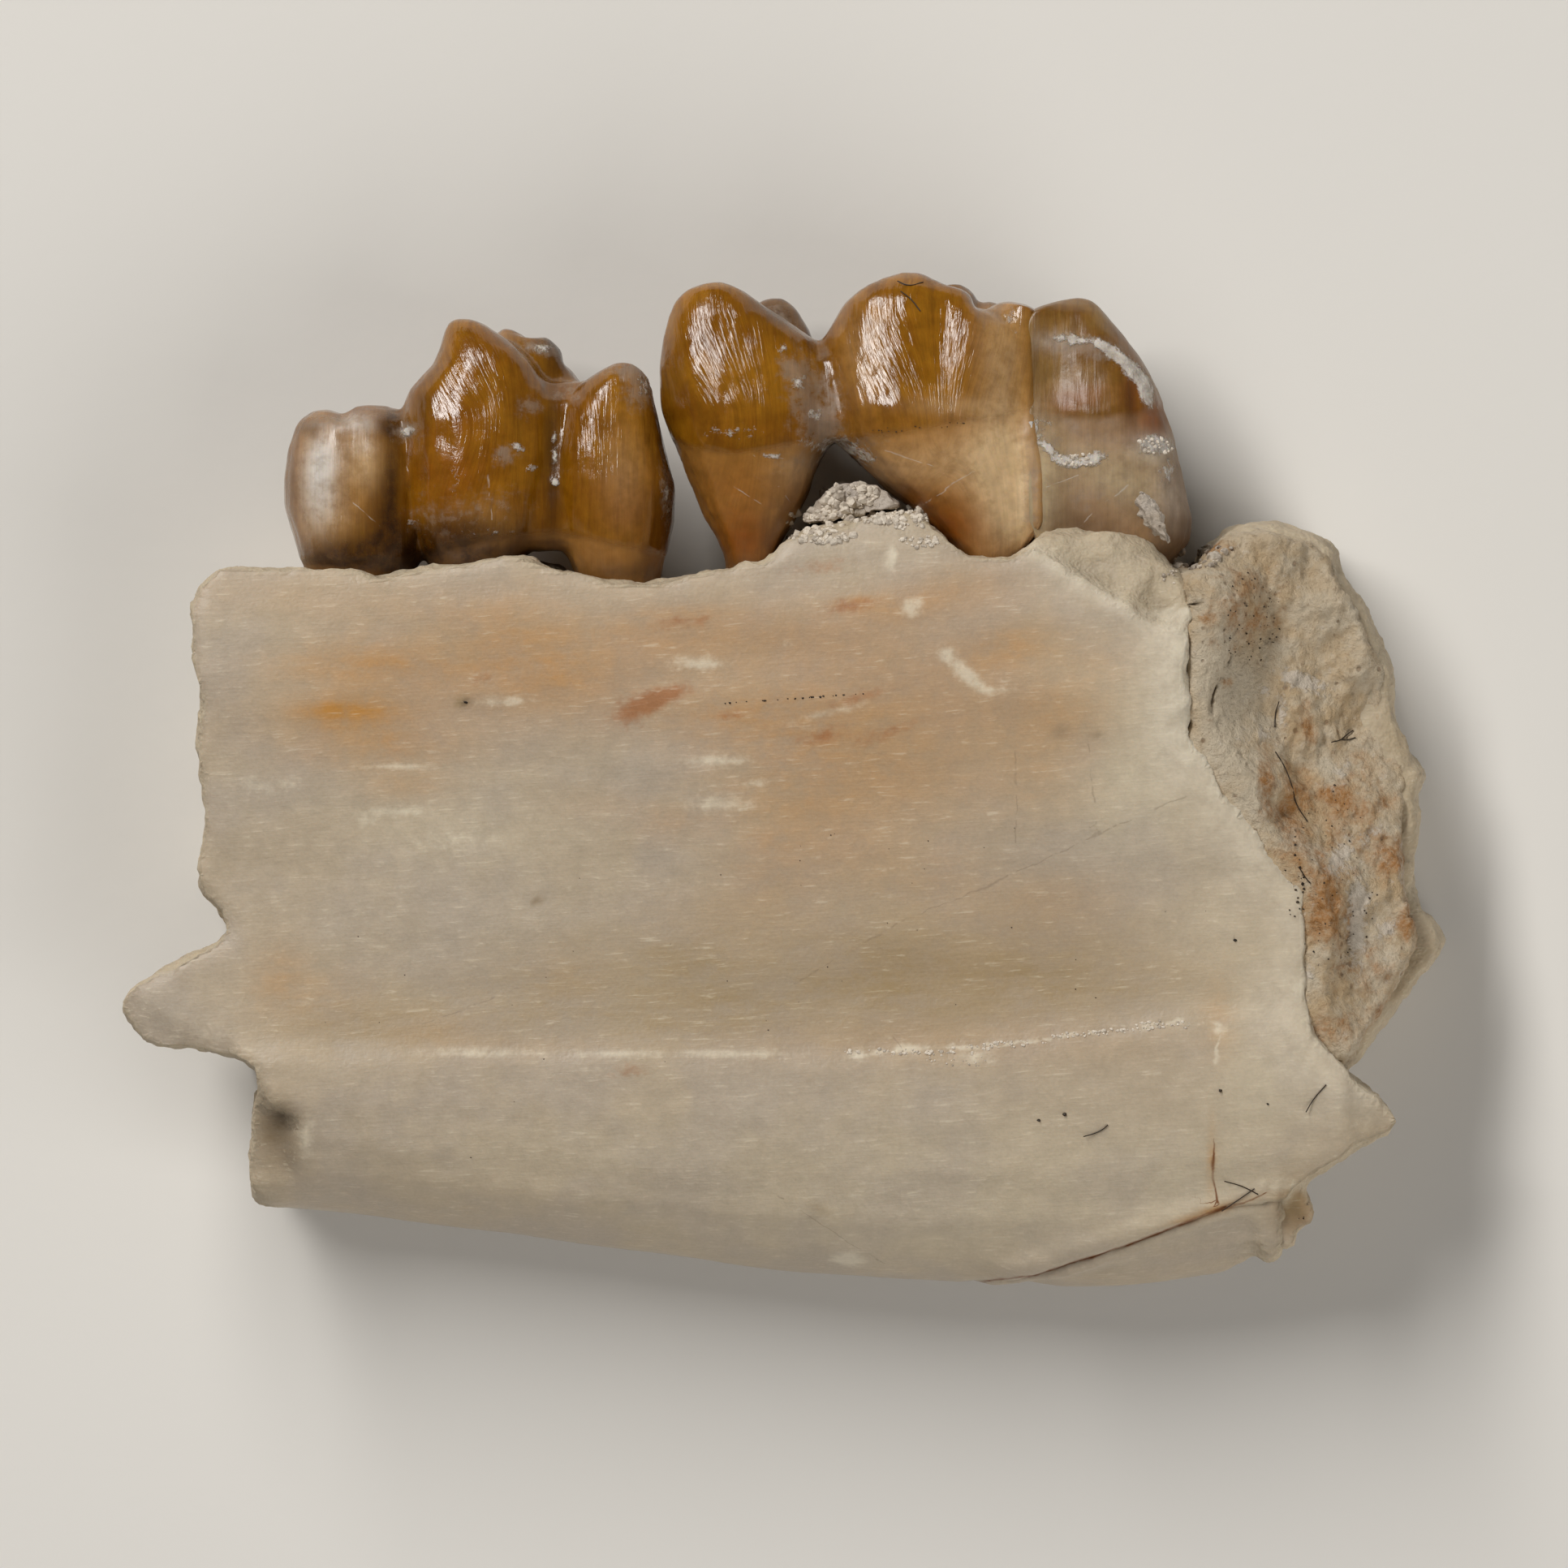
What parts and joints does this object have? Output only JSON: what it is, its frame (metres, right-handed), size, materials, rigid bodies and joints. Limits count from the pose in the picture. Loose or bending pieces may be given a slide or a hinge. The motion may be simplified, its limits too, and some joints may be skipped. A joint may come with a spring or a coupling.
{
  "type": "fossil jaw fragment",
  "caption": "Broken piece of a small hoofed mammal's fossil lower jaw, lying on its inner side, with brown glossy cheek teeth, a splintered edge and gritty sediment at the rear.",
  "frame": {"origin": "middle of the outline as seen from the outer side, on the plane that the inner face rests on", "axes": "+X back along the jaw, its longest extent; +Y towards the tooth tips; +Z out through the outer face, up when it lies down"},
  "size_m": [0.0252, 0.0192, 0.0056],
  "materials": {
    "fossil_bone": "smooth cream fossil bone with tan stains, fine grain and hairline cracks",
    "tooth_enamel": "glossy amber-brown enamel with fine vertical wrinkles and duller roots",
    "worn_tooth": "satin brown tooth with a pale crust and a beige root",
    "sediment": "rough gritty sediment, grey-beige to rusty brown, with white crystals",
    "white_crust": "chalky white mineral crust"
  },
  "bodies": {
    "root": {"jaw_bone": "fossil_bone", "ventral_flake": "fossil_bone", "premolar": "tooth_enamel", "front_molar": "tooth_enamel", "rear_molar": "worn_tooth", "rear_matrix": "sediment", "root_matrix": "sediment", "sediment_peg": "white_crust"}
  },
  "joints": []
}
